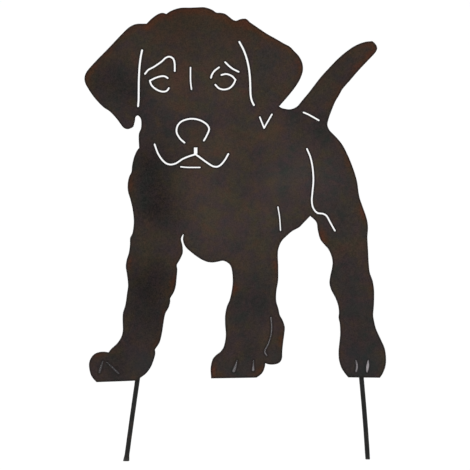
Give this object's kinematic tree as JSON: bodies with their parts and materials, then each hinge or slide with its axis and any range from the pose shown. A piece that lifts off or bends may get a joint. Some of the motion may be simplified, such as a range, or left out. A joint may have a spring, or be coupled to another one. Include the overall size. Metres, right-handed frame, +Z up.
{
  "type": "garden statue",
  "caption": "Flat cut-steel silhouette of a standing puppy, with features cut through as thin lines and round ground stakes welded behind its paws.",
  "frame": {"origin": "on the ground line, midway between the two stakes and in the middle of the sheet's thickness", "axes": "+Z up, along the puppy's height; -Y is the front face that the picture shows; +X to the right as seen from the front"},
  "size_m": [0.3616, 0.0077, 0.5443],
  "materials": {
    "rusty_sheet": "matte",
    "stake_rod": "matte",
    "weld_metal": "matte"
  },
  "bodies": {
    "root": {"puppy_plate": "rusty_sheet", "near_paw_stake": "stake_rod", "hind_paw_stake": "stake_rod", "near_paw_weld_left": "weld_metal", "near_paw_weld_right": "weld_metal", "hind_paw_weld_left": "weld_metal", "hind_paw_weld_right": "weld_metal"}
  },
  "joints": []
}
